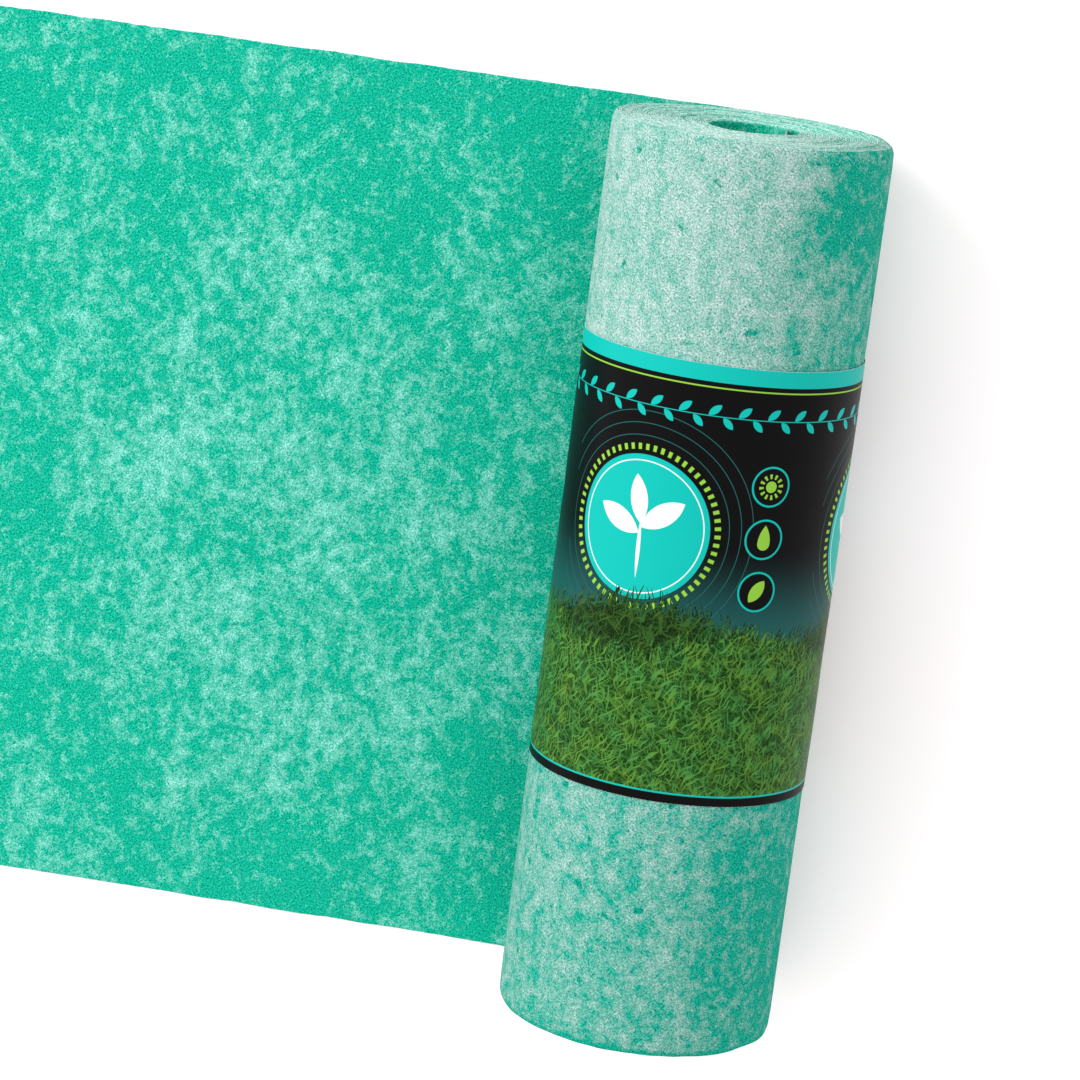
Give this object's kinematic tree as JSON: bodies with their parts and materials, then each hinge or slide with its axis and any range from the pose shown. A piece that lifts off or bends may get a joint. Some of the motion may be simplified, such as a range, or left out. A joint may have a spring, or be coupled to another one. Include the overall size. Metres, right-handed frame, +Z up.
{
  "type": "roll of grass seed mat",
  "caption": "Roll of green fibrous grass seed mat lying on its side, free end laid out flat, with a printed paper band round its middle.",
  "frame": {"origin": "on the floor, in the middle of the whole footprint: roll, band and laid-out end", "axes": "+Y along the roll's axis, -X the way the free end is laid out, +Z up"},
  "size_m": [0.7138, 0.61, 0.1869],
  "materials": {
    "mat": "matt green pulp fibre, pale mint on the outer face",
    "band": "satin print in black, green and turquoise"
  },
  "bodies": {
    "root": {"seed_mat": "mat", "printed_band": "band"}
  },
  "joints": []
}
